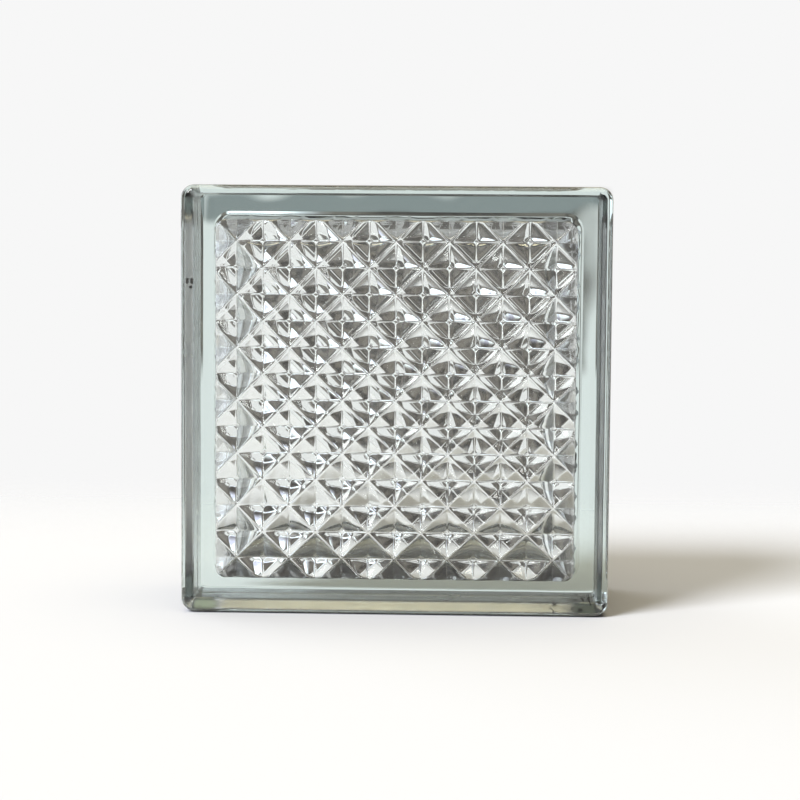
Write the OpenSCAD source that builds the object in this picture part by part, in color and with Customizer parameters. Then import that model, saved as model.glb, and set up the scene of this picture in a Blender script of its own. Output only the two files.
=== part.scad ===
// Hollow glass block for walls: two pressed halves fused into one piece round a sealed cavity.
// It stands on one edge with its front face toward -Y. The origin is the middle of its underside.

/* [Block] */
// Width and height of the square faces
face_w = 190; // [140:1:300]
// Depth from the front face to the back face
block_d = 80; // [76:1:110]
// Radius of the corners of the outline
corner_r = 6; // [5.5:0.5:10]
// Rounding where each face turns into the edges
edge_r = 4; // [2:0.5:5]

/* [Edge key] */
// Width of the rim beside each face
rim_w = 14; // [10:1:18]
// Depth of the mortar channel between the two rims
key_depth = 4.5; // [3:0.5:5]
// Width of the sloping shoulder from rim to channel floor
shoulder_w = 5; // [2:0.5:8]
// Width of the fused seam along the channel floor
seam_w = 3; // [2:0.5:6]
// Height of the fused seam
seam_h = 0.6; // [0.4:0.1:1]

/* [Cavity] */
// Thickness of each face wall in the valleys of the relief
face_t = 6; // [5:0.5:10]
// Thickness of the edge walls beside the faces
edge_t = 15.2; // [13:0.1:20]
// Widening of the cavity at each side, from the faces to the seam
cavity_draft = 3.5; // [0.5:0.5:4.5]
// Radius of the upright corners of the cavity
cavity_r = 4.5; // [4.5:0.5:12]
// Fillet between the face walls and the edge walls
fillet_r = 2; // [1:0.5:2]

/* [Relief] */
// Length of one diamond from corner to corner
diamond = 23.5; // [18:0.5:40]
// Height of a diamond from its valleys to its full point
relief_h = 4; // [1:0.1:5]
// Width of the blunted tip from corner to corner
tip_flat = 3.6; // [1:0.2:6]

/* [Hidden] */
$fn = 64;
half_w = face_w / 2;
half_d = block_d / 2;
channel_half = half_d - rim_w - shoulder_w;
cavity_half_w = half_w - edge_t;
cavity_half_d = half_d - face_t;
cavity_margin = 0.6;
cell = diamond / sqrt(2);
tip_h = relief_h * (1 - tip_flat / diamond);
relief_reach = ceil((cavity_half_w + cavity_draft) * sqrt(2) / cell) * 2 * cell;

// A half section, drawn outward from the corner axes, carried round a square with round corners
module round_the_square(axis_in, depth) {
    cube([2 * axis_in, 2 * axis_in, depth], center = true);
    for (turn = [0:90:270]) rotate(turn) {
        translate([axis_in, 0, 0])
            rotate([90, 0, 0])
                linear_extrude(2 * axis_in, center = true) children();
        translate([axis_in, axis_in, 0])
            rotate_extrude(angle = 90) children();
    }
}

// Section of the edge: rounded rims, the mortar channel between them and the seam on its floor
module edge_section() {
    channel_floor = corner_r - key_depth;
    seam_r = (pow(seam_w / 2, 2) + pow(seam_h, 2)) / (2 * seam_h);
    intersection() {
        translate([0, -half_d]) square([corner_r, block_d]);
        union() {
            difference() {
                union() {
                    for (side = [-1, 1])
                        translate([corner_r - edge_r, side * (half_d - edge_r)]) circle(edge_r);
                    translate([0, -half_d]) square([corner_r - edge_r, block_d]);
                    translate([0, edge_r - half_d]) square([corner_r, block_d - 2 * edge_r]);
                }
                polygon([
                    [corner_r, -channel_half - shoulder_w],
                    [channel_floor, -channel_half],
                    [channel_floor, channel_half],
                    [corner_r, channel_half + shoulder_w]
                ]);
            }
            translate([channel_floor + seam_h - seam_r, 0]) circle(seam_r);
        }
    }
}

// Section of the cavity: fillets at the faces, and walls that widen toward the seam
module cavity_section(depth) {
    half = depth / 2;
    union() {
        for (side = [-1, 1])
            translate([cavity_r - fillet_r, side * (half - fillet_r)]) circle(fillet_r);
        polygon([
            [0, -half],
            [cavity_r - fillet_r, -half],
            [cavity_r, fillet_r - half],
            [cavity_r + cavity_draft, 0],
            [cavity_r, half - fillet_r],
            [cavity_r - fillet_r, half],
            [0, half]
        ]);
    }
}

// Space between two facing rows of V-shaped waves
module wave_section() {
    steps = relief_reach / cell;
    outline = [for (i = [-steps:steps])
        [i * cell / 2, cavity_half_d - (i % 2 == 0 ? 0 : relief_h)]];
    polygon(concat(outline, [for (i = [len(outline) - 1:-1:0]) [outline[i][0], -outline[i][1]]]));
}

// Space left by the relief: crossing waves leave diamond points, and a slab blunts their tips
module relief_space() {
    for (turn = [-45, 45]) rotate(turn)
        rotate([90, 0, 0])
            linear_extrude(relief_reach, center = true) wave_section();
    cube([relief_reach, relief_reach, 2 * (cavity_half_d - tip_h)], center = true);
}

// Sealed cavity with diamond points on both of its faces
module cavity() {
    depth = 2 * (cavity_half_d + cavity_margin);
    intersection() {
        round_the_square(cavity_half_w - cavity_r, depth) cavity_section(depth);
        relief_space();
    }
}

module glass_block() {
    color([0.78, 0.84, 0.82])
        translate([0, 0, half_w])
            rotate([90, 0, 0])
                difference() {
                    round_the_square(half_w - corner_r, block_d) edge_section();
                    cavity();
                }
}

glass_block();
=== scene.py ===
"""A hollow block of clear pressed glass, standing on one edge on a pale floor.

The glass lies between two closed surfaces: its outer skin, and the wall of the sealed cavity,
which carries a relief of diamond points on its front and back. Sizes of the block are in millimetres.
"""
import math

import bmesh
import bpy
import numpy as np
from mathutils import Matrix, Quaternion, Vector


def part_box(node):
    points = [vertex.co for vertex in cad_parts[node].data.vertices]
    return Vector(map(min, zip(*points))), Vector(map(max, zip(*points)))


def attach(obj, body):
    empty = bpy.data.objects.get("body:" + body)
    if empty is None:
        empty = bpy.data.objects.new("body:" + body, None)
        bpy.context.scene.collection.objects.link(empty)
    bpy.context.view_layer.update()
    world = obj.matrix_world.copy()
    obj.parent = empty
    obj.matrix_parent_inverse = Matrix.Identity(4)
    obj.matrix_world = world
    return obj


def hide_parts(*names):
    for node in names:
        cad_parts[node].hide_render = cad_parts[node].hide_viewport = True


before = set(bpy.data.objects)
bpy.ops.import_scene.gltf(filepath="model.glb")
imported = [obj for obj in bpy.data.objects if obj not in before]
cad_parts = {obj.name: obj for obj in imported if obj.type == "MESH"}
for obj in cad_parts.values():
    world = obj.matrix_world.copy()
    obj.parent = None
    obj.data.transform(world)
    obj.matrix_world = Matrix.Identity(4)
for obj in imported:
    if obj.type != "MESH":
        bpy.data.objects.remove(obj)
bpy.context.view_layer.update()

# Sizes of the block
MM = 0.001
LOW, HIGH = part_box("glass_block")
HALF_W = (HIGH.x - LOW.x) / 2 / MM
HALF_D = (HIGH.y - LOW.y) / 2 / MM
CORNER_R = 6.0
EDGE_R = 4.0
RIM_W = 14.0
KEY_DEPTH = 4.5
SHOULDER_W = 5.0
SHOULDER_SOFTNESS = [2.0, 2.5]
SEAM_W = 3.0
SEAM_H = 0.6

# Sizes of the cavity and its relief
FACE_T = 6.0
EDGE_T = 15.2
CAVITY_DRAFT = 3.5
CAVITY_R = 4.5
FILLET_R = 2.0
FILLET_MARGIN = 0.6
FILLET_SOFTNESS = 0.4
DIAMOND = 23.5
HALF_CELL = DIAMOND / math.sqrt(8)
RELIEF_H = 4.0
TIP_FLAT = 3.6
RIDGE_SOFTNESS = 0.35
VALLEY_R = 0.2
FACET_HOLLOW = 1.1

# Spacing of the mesh of a diamond: from its point outward, from its valleys inward and beside its ridges
TIP_RINGS = [0.8, 1.3, 1.8, 3.2, 5.2]
VALLEY_STEPS = [1.0, 0.5, 0.22, 0]
RIDGE_STEPS = [0, 0.25, 0.6, 1.2]
RIDGE_FULL = 2.4
CUT_TOLERANCE = 0.01
BORDER_TOLERANCE = 0.012
CREASE = math.radians(40)


def smooth_min(a, b, width):
    """The lesser of a and b, rounded off by a parabola where they differ by less than width."""
    overlap = np.maximum(width - np.abs(a - b), 0)
    return np.minimum(a, b) - overlap ** 2 / (4 * width)


def round_corners(points, radii, steps=6):
    """A path whose inner points are each replaced by a parabola that leaves and meets its sides."""
    points = np.array(points, float)
    path = [points[:1]]
    t = np.linspace(0, 1, steps + 1)[:, None]
    for before, corner, after, radius in zip(points, points[1:], points[2:], radii):
        start = corner + (before - corner) * radius / np.linalg.norm(before - corner)
        end = corner + (after - corner) * radius / np.linalg.norm(after - corner)
        path.append((1 - t) ** 2 * start + 2 * t * (1 - t) * corner + t ** 2 * end)
    path.append(points[-1:])
    return np.concatenate(path)


def round_plan(x, z, axis_in):
    """Draws the corners of a square plan in to quarter circles round the corner axes.

    Beyond the axes a point keeps the greater of its two overhangs as its distance from the axis,
    so that square rings become round ones. Returns the new x and z, and that distance.
    """
    over_x = np.maximum(np.abs(x) - axis_in, 0)
    over_z = np.maximum(np.abs(z) - axis_in, 0)
    reach = np.maximum(over_x, over_z)
    pull = reach / np.maximum(np.hypot(over_x, over_z), 1e-9)
    plan_x = np.sign(x) * (np.minimum(np.abs(x), axis_in) + over_x * pull)
    plan_z = np.sign(z) * (np.minimum(np.abs(z), axis_in) + over_z * pull)
    return plan_x, plan_z, reach


def closed_shell(x, z, faces, axis_in, front, wall):
    """A box with round corners: a front sheet, a wall carried round its border and a back sheet.

    x, z and faces give the sheet on its square plan, and front its depth before the middle plane.
    The back is its mirror image. wall lists (distance from the corner axes, depth), front to back.
    """
    span = np.maximum(np.abs(x), np.abs(z))
    border = np.flatnonzero(span > span.max() - 1e-4)
    border = border[np.argsort(np.arctan2(z[border], x[border]))]
    axis_x, axis_z = np.clip(x[border], -axis_in, axis_in), np.clip(z[border], -axis_in, axis_in)
    x, z, _ = round_plan(x, z, axis_in)
    out_x, out_z = x[border] - axis_x, z[border] - axis_z
    length = np.hypot(out_x, out_z)
    sheet = np.stack([x, -front, z], -1)
    ring = np.stack([
        axis_x + wall[:, :1] * out_x / length,
        np.broadcast_to(wall[:, 1:], (len(wall), len(border))),
        axis_z + wall[:, :1] * out_z / length,
    ], -1).reshape(-1, 3)
    count = len(x)
    rows = np.concatenate([
        border[None],
        2 * count + np.arange(len(wall) * len(border)).reshape(len(wall), -1),
        border[None] + count,
    ])
    after = np.roll(rows, -1, axis=1)
    strip = np.stack([rows[:-1], rows[1:], after[1:], after[:-1]], -1).reshape(-1, 4)
    return np.concatenate([sheet, sheet * (1, -1, 1), ring]), [faces, faces[:, ::-1] + count, strip]


def outer_skin():
    """The outer skin: two flat faces, and the rims, mortar channel and seam between them.

    The section of the edge is a quarter circle, a straight rim, a softened slope down to the channel
    floor and a seam that swells as a squared cosine, followed by the same in reverse.
    """
    axis_in = HALF_W - CORNER_R
    flat = np.linspace(-axis_in, axis_in, 5)
    corner = axis_in + (CORNER_R - EDGE_R) * np.linspace(0, 1, 6)[1:]
    lines = np.concatenate([-corner[::-1], flat, corner])
    x, z = (plan.ravel() for plan in np.meshgrid(lines, lines))
    grid = np.arange(len(x)).reshape(len(lines), -1)
    faces = np.stack([grid[:-1, :-1], grid[:-1, 1:], grid[1:, 1:], grid[1:, :-1]], -1).reshape(-1, 4)

    turn = np.linspace(0, np.pi / 2, 9)[1:]
    rounding = np.stack([
        CORNER_R - EDGE_R + EDGE_R * np.sin(turn), -HALF_D + EDGE_R * (1 - np.cos(turn))
    ], -1)
    floor_r = CORNER_R - KEY_DEPTH
    shoulder = -HALF_D + RIM_W
    rim = round_corners([
        rounding[-1], (CORNER_R, shoulder), (floor_r, shoulder + SHOULDER_W), (floor_r, -SEAM_W)
    ], SHOULDER_SOFTNESS)[1:]
    depth = np.linspace(-SEAM_W / 2, 0, 7)
    seam = np.stack([floor_r + SEAM_H * np.cos(np.pi * depth / SEAM_W) ** 2, depth], -1)
    half = np.concatenate([rounding, rim, seam])
    wall = np.concatenate([half, half[-2::-1] * (1, -1)])
    return closed_shell(x, z, faces, axis_in, np.full(len(x), HALF_D), wall)


def relief(x, z):
    """Height of the diamond points: the lesser of two crossing rows of V-shaped waves, blunted.

    The height of a wave grows with the distance from its nearest valley, which is rounded, and the
    exponent hollows the facets a little.
    """
    rises = []
    for along in (x + z, x - z):
        away = HALF_CELL - np.abs(np.mod(along / math.sqrt(2), 2 * HALF_CELL) - HALF_CELL)
        away = np.hypot(away, VALLEY_R) - VALLEY_R
        rises.append(RELIEF_H * (away / HALF_CELL) ** FACET_HOLLOW)
    tip = RELIEF_H * (1 - TIP_FLAT / DIAMOND)
    return smooth_min(smooth_min(*rises, RIDGE_SOFTNESS), tip, RIDGE_SOFTNESS / 2)


def diamond_sheet(half_span):
    """A flat sheet of diamonds, each made of square rings round its point.

    The rings lie close together along the valleys, and the points of a ring along the ridges.
    """
    rings = np.concatenate([TIP_RINGS, HALF_CELL - np.array(VALLEY_STEPS)])[:, None]
    near_ridge = np.array(RIDGE_STEPS) * np.minimum(1, rings / RIDGE_FULL)
    side = np.concatenate([near_ridge - rings, 0 * rings, rings - near_ridge[:, :0:-1]], 1)
    ends = np.broadcast_to(rings, side.shape)
    u = np.concatenate([side, ends, -side, -ends], 1)
    v = np.concatenate([-ends, side, ends, -side], 1)
    ring_count, around = u.shape
    u, v = np.append(u, 0), np.append(v, 0)

    index = np.arange(ring_count * around).reshape(ring_count, around)
    after = np.roll(index, -1, axis=1)
    quads = np.stack([index[:-1], index[1:], after[1:], after[:-1]], -1).reshape(-1, 4)
    fan = np.stack([np.full(around, len(u) - 1), index[0], after[0]], -1)
    pattern = np.concatenate([quads[:, :3], quads[:, [0, 2, 3]], fan])

    reach = math.ceil(half_span / HALF_CELL) + 1
    step = np.arange(-reach, reach) + 0.5
    across, up = (2 * HALF_CELL * grid.reshape(-1, 1) for grid in np.meshgrid(step, step))
    x, z = (u + across + v + up) / math.sqrt(2), (v + up - u - across) / math.sqrt(2)
    used = (np.abs(x).min(1) < half_span) & (np.abs(z).min(1) < half_span)
    points = np.stack([x[used], z[used]], -1)
    faces = (np.arange(len(points))[:, None, None] * len(u) + pattern).reshape(-1, 3)
    points, joined = np.unique(np.round(points.reshape(-1, 2), 4), axis=0, return_inverse=True)
    return points, joined.ravel()[faces]


def trimmed(points, faces, half_span, insets):
    """The part of a flat sheet inside a square, cut again along lines inset from its sides."""
    mesh = bpy.data.meshes.new("sheet")
    mesh.from_pydata(np.insert(points, 1, 0, axis=1), [], faces.tolist())
    sheet = bmesh.new()
    sheet.from_mesh(mesh)
    for way in (Vector((1, 0, 0)), Vector((-1, 0, 0)), Vector((0, 0, 1)), Vector((0, 0, -1))):
        for inset in insets:
            bmesh.ops.bisect_plane(
                sheet, geom=sheet.verts[:] + sheet.edges[:] + sheet.faces[:], dist=CUT_TOLERANCE,
                plane_co=way * (half_span - inset), plane_no=way, clear_outer=bool(inset == 0),
            )
    bmesh.ops.triangulate(sheet, faces=sheet.faces[:])
    sheet.to_mesh(mesh)
    sheet.free()
    points = np.empty((len(mesh.vertices), 3), np.float32)
    faces = np.empty((len(mesh.polygons), 3), np.int32)
    mesh.vertices.foreach_get("co", points.ravel())
    mesh.loops.foreach_get("vertex_index", faces.ravel())
    bpy.data.meshes.remove(mesh)
    points = points[:, ::2].astype(float)
    border = np.abs(np.abs(points) - half_span) < BORDER_TOLERANCE
    return np.where(border, np.sign(points) * half_span, points), faces


def cavity_wall():
    """The wall of the cavity: diamonds on both faces, fillets, and walls that widen to the seam.

    A face lies at the lesser of two depths: that of the relief, and that of the quarter circle by which
    the fillet leaves the wall. The wall widens in proportion to its distance from the fillet.
    """
    half_span = HALF_W - EDGE_T
    axis_in = half_span - CAVITY_R
    end = HALF_D - FACE_T + FILLET_MARGIN
    turn = np.linspace(0, np.pi / 2, 8)
    insets = FILLET_R * (1 - np.sin(turn))
    insets[-1] = 0
    points, faces = trimmed(*diamond_sheet(half_span), half_span, insets)
    x, z = points.T
    plan_x, plan_z, reach = round_plan(x, z, axis_in)
    rise = np.maximum(reach - (CAVITY_R - FILLET_R), 0)
    fillet = end - FILLET_R + np.sqrt(np.maximum(FILLET_R ** 2 - rise ** 2, 0))
    front = smooth_min(HALF_D - FACE_T - relief(plan_x, plan_z), fillet, FILLET_SOFTNESS)

    depth = np.linspace(FILLET_R - end, 0, 3)[1:]
    half = np.stack([CAVITY_R + CAVITY_DRAFT * (1 + depth / (end - FILLET_R)), depth], -1)
    wall = np.concatenate([half, half[-2::-1] * (1, -1)])
    vertices, faces = closed_shell(x, z, faces, axis_in, front, wall)
    return vertices, [face[:, ::-1] for face in faces]


def glass_mesh(name, *shells):
    """One mesh of closed shells, raised to stand on the floor, with creases where facets meet."""
    vertices, faces, start = [], [], 0
    for shell_vertices, shell_faces in shells:
        vertices.append(shell_vertices)
        for face in shell_faces:
            faces += (face + start).tolist()
        start += len(shell_vertices)
    mesh = bpy.data.meshes.new(name)
    mesh.from_pydata((np.concatenate(vertices) + (0, 0, HALF_W)) * MM, [], faces)
    mesh.polygons.foreach_set("use_smooth", np.ones(len(faces), bool))
    mesh.set_sharp_from_angle(angle=CREASE)
    mesh.validate()
    piece = bpy.data.objects.new(name, mesh)
    bpy.context.collection.objects.link(piece)
    return piece


class Nodes:
    """Adds nodes to one node tree; each call returns one wrapped output of the new node."""

    def __init__(self, tree):
        self.tree = tree
        tree.nodes.clear()

    def add(self, kind, settings=None, output=0, **inputs):
        """Adds a node of a type, with its settings, and its sockets by name or by number, as in i0."""
        node = self.tree.nodes.new(kind)
        for name, value in (settings or {}).items():
            setattr(node, name, value)
        for name, value in inputs.items():
            key = int(name[1:]) if name[1:].isdigit() else name.replace("_", " ")
            self.put(node.inputs[key], value)
        return Value(self, node.outputs[output]) if node.outputs else None

    def put(self, socket, value):
        if isinstance(value, Value):
            self.tree.links.new(value.socket, socket)
        else:
            socket.default_value = value

    def math(self, operation, *values):
        inputs = {f"i{number}": value for number, value in enumerate(values)}
        return self.add("ShaderNodeMath", {"operation": operation}, **inputs)

    def split(self, vector):
        """The three parts of a vector."""
        parts = self.add("ShaderNodeSeparateXYZ", Vector=vector).socket.node.outputs
        return [Value(self, socket) for socket in parts]


class Value:
    """A node's output that can be used in Python arithmetic; each operation adds one Math node."""

    def __init__(self, nodes, socket):
        self.nodes = nodes
        self.socket = socket

    def __add__(self, other):
        return self.nodes.math("ADD", self, other)

    __radd__ = __add__

    def __mul__(self, other):
        return self.nodes.math("MULTIPLY", self, other)

    __rmul__ = __mul__

    def __sub__(self, other):
        return self.nodes.math("SUBTRACT", self, other)

    def __rsub__(self, other):
        return self.nodes.math("SUBTRACT", other, self)

    def __truediv__(self, other):
        return self.nodes.math("DIVIDE", self, other)

    def __rtruediv__(self, other):
        return self.nodes.math("DIVIDE", other, self)

    def __abs__(self):
        return self.nodes.math("ABSOLUTE", self)

    def clip(self):
        return self.nodes.math("MINIMUM", self.nodes.math("MAXIMUM", self, 0.0), 1.0)

    def ramp(self, start, end):
        """Goes smoothly from 0 at start to 1 at end, which may be the lesser of the two."""
        smooth = {"interpolation_type": "SMOOTHSTEP"}
        return self.nodes.add("ShaderNodeMapRange", smooth, Value=self, From_Min=start, From_Max=end)


def mix(nodes, factor, first, second):
    """The first colour where factor is 0 and the second where it is 1."""
    return nodes.add("ShaderNodeMix", {"data_type": "RGBA"}, 2, Factor=factor, i6=first, i7=second)


def either(nodes, first, *others):
    """The greatest of several masks."""
    for other in others:
        first = nodes.math("MAXIMUM", first, other)
    return first


def noise(nodes, place, scale, detail=2.0):
    """Smooth noise between 0 and 1, with about scale waves to one unit of place."""
    return nodes.add("ShaderNodeTexNoise", Vector=place, Scale=scale, Detail=detail)


# Finish of the glass
CLEAR = (0.98, 0.99, 0.985, 1)
GLASS_IOR = 1.52
TINT = (0.77, 0.86, 0.84, 1)
TINT_DENSITY = 16.0
POLISHED = 0.004
DULL = 0.16
# Colour of the dust on the sides, which also serves there as painted shade
DUST_AND_SHADE_COLOUR = (0.42, 0.4, 0.35, 1)
DIRT = (0.012, 0.01, 0.008, 1)

# Dark mark on the left rim, as ovals: centre across, centre up and half the height of each
LEFT_MARK = [(-91.7, 147.6, 1.5), (-89.7, 147.6, 1.5), (-90.2, 145.0, 0.8)]
MARK_HALF_W = 0.8


def spot(x, z, centre_x, centre_z, half_height):
    """1 inside an upright oval and 0 beyond its soft border."""
    across = (x - centre_x) / MARK_HALF_W
    up = (z - centre_z) / half_height
    return (across * across + up * up).ramp(1.2, 0.7)


def clear_glass():
    """Clear glass: polished on the faces, and dull, wavy and dusty in the mortar channel, where the dust
    also carries painted shade.
    """
    material = bpy.data.materials.new("clear_glass")
    material.use_nodes = True
    nodes = Nodes(material.node_tree)
    place = nodes.add("ShaderNodeTexCoord", output="Object")
    x, y, z = (part / MM for part in nodes.split(place))

    # The sides are all that lies outward of the cavity and back from the faces
    out = either(nodes, abs(x), abs(z - HALF_W))
    side = out.ramp(HALF_W - 8, HALF_W - 6) * abs(y).ramp(HALF_D - 1.0, HALF_D - 4)
    patchy = noise(nodes, place, 60.0)
    sway = noise(nodes, place, 28.0, 1.0) + 0.25 * side * noise(nodes, place, 260.0)
    normal = nodes.add("ShaderNodeBump", Strength=0.25, Distance=0.0012, Height=sway)

    # Dark dirt lies on the front: the mark on the left, and specks low on the right
    front = y.ramp(5.0 - HALF_D, 4.0 - HALF_D)
    mark = sum(spot(x, z, *oval) for oval in LEFT_MARK)
    corner = x.ramp(60.0, 72.0) * z.ramp(13.0, 9.0)
    specks = noise(nodes, place, 420.0, 0.0).ramp(0.64, 0.69) * corner
    dirt = (front * (mark + specks)).clip()
    glass = nodes.add(
        "ShaderNodeBsdfPrincipled", Base_Color=mix(nodes, dirt, CLEAR, DIRT),
        Roughness=POLISHED + side * (DULL + DULL * patchy), IOR=GLASS_IOR,
        Transmission_Weight=1.0, Normal=normal,
    )

    # Dust covers the sides, with painted shade added to it: it lies thicker on the right and on top,
    # where the sides are darker from the dim surround, and thinner near the floor, where they are
    # lighter
    dust_and_shade_bsdf = nodes.add("ShaderNodeBsdfDiffuse", Color=DUST_AND_SHADE_COLOUR)
    # Painted shade: the cover is thickened on the right and on top, and thinned near the floor
    dust_and_shade_depth = 0.3 + 1.3 * x.ramp(60.0, 90.0) + 1.2 * z.ramp(180.0, 187.0)
    off_floor = 0.2 + 0.8 * z.ramp(3.0, 9.0)
    dust_and_shade_cover = (side * (0.2 + 0.25 * patchy) * (dust_and_shade_depth * off_floor)).clip()
    dust_and_shade_mix = nodes.add("ShaderNodeMixShader", i0=dust_and_shade_cover, i1=glass, i2=dust_and_shade_bsdf)
    tint = nodes.add("ShaderNodeVolumeAbsorption", Color=TINT, Density=TINT_DENSITY)
    nodes.add("ShaderNodeOutputMaterial", Surface=dust_and_shade_mix, Volume=tint)
    return material


# The block
piece = glass_mesh("pressed_glass", outer_skin(), cavity_wall())
piece.data.materials.append(clear_glass())
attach(piece, "root")
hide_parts("glass_block")

# Colours of the surround
PALE = (0.93, 0.93, 0.93, 1)
ROOM_SHADE = (0.04, 0.035, 0.03, 1)
ROOM_LIGHT = (0.2, 0.18, 0.155, 1)
WINDOW_LILAC = (0.95, 0.97, 1.2, 1)
WINDOW_WHITE = (2.1, 2.25, 2.3, 1)
STRIP_GREY = (0.26, 0.29, 0.295, 1)
CEILING = (1.9, 1.66, 1.14, 1)

# Zones of the surround in degrees: left, right, low, high and the width of the soft border
ROOM_ZONES = [
    (10.7, 33.5, -23.0, 90.0, 1.5),
    (-30.0, -13.1, -23.0, 90.0, 1.5),
    (-4.7, 2.7, -4.4, -0.1, 0.6),
]
WINDOW_ZONES = [
    (-33.8, -17.4, -4.0, 8.0, 2.0),
    (-33.8, -24.0, -28.0, -10.0, 2.0),
    (-75.0, -32.0, 8.0, 45.0, 8.0),
    (-8.0, -4.6, 7.4, 11.8, 1.5),
]
STRIP_ZONE = (-7.2, 3.2, -0.6, 0.1, 0.3)
ROOM_RISE = (4.8, 6.2)
CEILING_RISE = (55.0, 68.0)


def patch(turn, rise, left, right, low, high, soft):
    """1 between two turns and between two rises, and 0 beyond borders as wide as soft."""
    edge = soft / 2
    across = turn.ramp(left - edge, left + edge) * turn.ramp(right + edge, right - edge)
    return across * rise.ramp(low - edge, low + edge) * rise.ramp(high + edge, high - edge)


def studio_world():
    """A pale surround: a dim room above and on both sides, and bright windows on the left.

    turn is the angle to the right of straight back, and rise the angle above level, in degrees.
    """
    world = bpy.data.worlds.new("studio")
    world.use_nodes = True
    nodes = Nodes(world.node_tree)
    way = nodes.add("ShaderNodeTexCoord")
    x, y, z = nodes.split(way)
    turn = nodes.math("ARCTAN2", x, y) * math.degrees(1)
    rise = nodes.math("ARCSINE", z) * math.degrees(1)
    room = mix(nodes, noise(nodes, way, 24.0).ramp(0.36, 0.64), ROOM_SHADE, ROOM_LIGHT)
    window = mix(nodes, noise(nodes, way, 30.0).ramp(0.4, 0.6), WINDOW_LILAC, WINDOW_WHITE)
    dim = either(nodes, rise.ramp(*ROOM_RISE), *(patch(turn, rise, *zone) for zone in ROOM_ZONES))
    lit = either(nodes, *(patch(turn, rise, *zone) for zone in WINDOW_ZONES))
    colour = mix(nodes, dim, PALE, room)
    colour = mix(nodes, patch(turn, rise, *STRIP_ZONE), colour, STRIP_GREY)
    colour = mix(nodes, rise.ramp(*CEILING_RISE), colour, CEILING)
    colour = mix(nodes, lit, colour, window)
    shine = nodes.add("ShaderNodeBackground", Color=colour, Strength=1.0)
    nodes.add("ShaderNodeOutputWorld", Surface=shine)
    return world


# Floor, in metres
FLOOR_REACH = 15.0
FLOOR_BACK = 0.5
FLOOR_Z = -0.0002
FLOOR_FADE = (0.12, 0.46)
PAPER = (0.8, 0.83, 0.9, 1)


def pale_floor():
    """A wide floor that fades out a little behind the block, where the pale surround goes on."""
    corners = [
        (-FLOOR_REACH, -FLOOR_REACH, FLOOR_Z), (FLOOR_REACH, -FLOOR_REACH, FLOOR_Z),
        (FLOOR_REACH, FLOOR_BACK, FLOOR_Z), (-FLOOR_REACH, FLOOR_BACK, FLOOR_Z),
    ]
    mesh = bpy.data.meshes.new("floor")
    mesh.from_pydata(corners, [], [(0, 1, 2, 3)])
    floor = bpy.data.objects.new("floor", mesh)
    bpy.context.collection.objects.link(floor)
    paper = bpy.data.materials.new("paper")
    paper.use_nodes = True
    nodes = Nodes(paper.node_tree)
    _, y, _ = nodes.split(nodes.add("ShaderNodeTexCoord", output="Object"))
    cover = nodes.add("ShaderNodeBsdfDiffuse", Color=PAPER)
    clear = nodes.add("ShaderNodeBsdfTransparent")
    faded = nodes.add("ShaderNodeMixShader", i0=y.ramp(*FLOOR_FADE), i1=cover, i2=clear)
    nodes.add("ShaderNodeOutputMaterial", Surface=faded)
    mesh.materials.append(paper)


# Light
KEY_FROM = Vector((-0.6, -0.6, 0.75))
scene = bpy.context.scene
scene.world = studio_world()
pale_floor()
lamp = bpy.data.lights.new("key", "SUN")
lamp.energy = 3.1
lamp.angle = math.radians(25)
key = bpy.data.objects.new("key", lamp)
key.rotation_euler = KEY_FROM.to_track_quat("Z", "Y").to_euler()
bpy.context.collection.objects.link(key)

# Camera, with its distance in metres
AZIMUTH = math.radians(2.0)
ELEVATION = math.radians(5.2)
ROLL = math.radians(0.4)
DISTANCE = 1.0
PIXELS_PER_MM = 2.27
IMAGE_PIXELS = 800
TARGET = Vector((2.3, -HALF_D, HALF_W + 1.0)) * MM
camera = bpy.data.objects.new("camera", bpy.data.cameras.new("camera"))
camera.data.lens = camera.data.sensor_width * PIXELS_PER_MM * DISTANCE / MM / IMAGE_PIXELS
level = math.cos(ELEVATION)
away = Vector((math.sin(AZIMUTH) * level, -math.cos(AZIMUTH) * level, math.sin(ELEVATION)))
camera.location = TARGET + away * DISTANCE
camera.rotation_euler = (away.to_track_quat("Z", "Y") @ Quaternion((0, 0, 1), ROLL)).to_euler()
bpy.context.collection.objects.link(camera)
scene.camera = camera
scene.view_settings.view_transform = "Standard"

# Light passes through many surfaces of the relief
scene.cycles.max_bounces = 32
scene.cycles.transmission_bounces = 32
scene.cycles.caustics_refractive = False
scene.cycles.caustics_reflective = False
